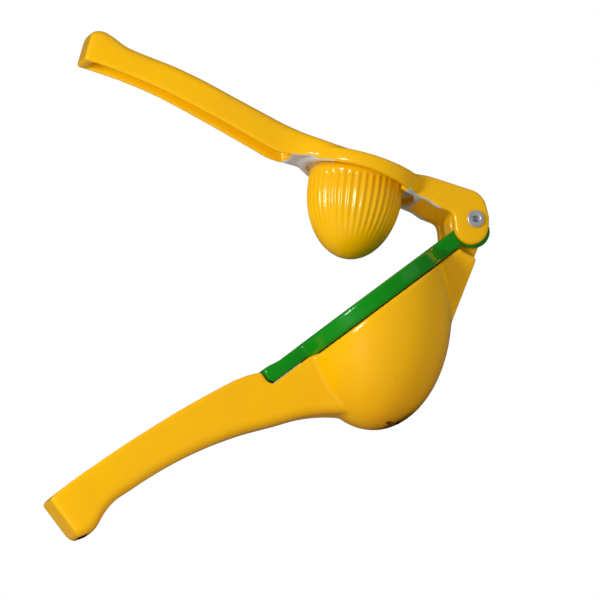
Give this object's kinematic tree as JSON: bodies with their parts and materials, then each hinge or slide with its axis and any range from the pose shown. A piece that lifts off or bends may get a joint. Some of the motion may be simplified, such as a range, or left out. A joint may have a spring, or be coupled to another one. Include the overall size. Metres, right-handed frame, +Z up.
{
  "type": "hinged lemon squeezer",
  "caption": "Hand press for citrus halves: a fluted dome on a levered arm closes into a nested inner bowl, seated in a handled outer bowl, all on one riveted hinge.",
  "frame": {"origin": "on the table under the middle of the object's box; the outer bowl's foot and the lower handle's heel stand on the table", "axes": "+X from the handle ends toward the hinge, +Y away from the side seen in the picture, +Z up; at rest the inner bowl is seated and the press arm stands open"},
  "size_m": [0.2248, 0.074, 0.1994],
  "materials": {
    "yellow_enamel": "glossy baked enamel over cast aluminium",
    "green_enamel": "glossy baked enamel over cast aluminium",
    "rivet_steel": "turned steel with a bright rolled end"
  },
  "bodies": {
    "outer_bowl": {"lower_casting": "yellow_enamel", "hinge_rivet": "rivet_steel"},
    "inner_bowl": {"insert_bowl": "green_enamel"},
    "press": {"press_arm": "yellow_enamel"}
  },
  "joints": [
    {"name": "inner_bowl_hinge", "type": "hinge", "parent": "outer_bowl", "child": "inner_bowl", "pos_m": [0.10364, 0, 0.06946], "axis": [0, 1, 0], "range_deg": [0, 45]},
    {"name": "press_hinge", "type": "hinge", "parent": "inner_bowl", "child": "press", "pos_m": [0.10364, 0, 0.06946], "axis": [0, 1, 0], "range_deg": [-51.5, 60]}
  ]
}
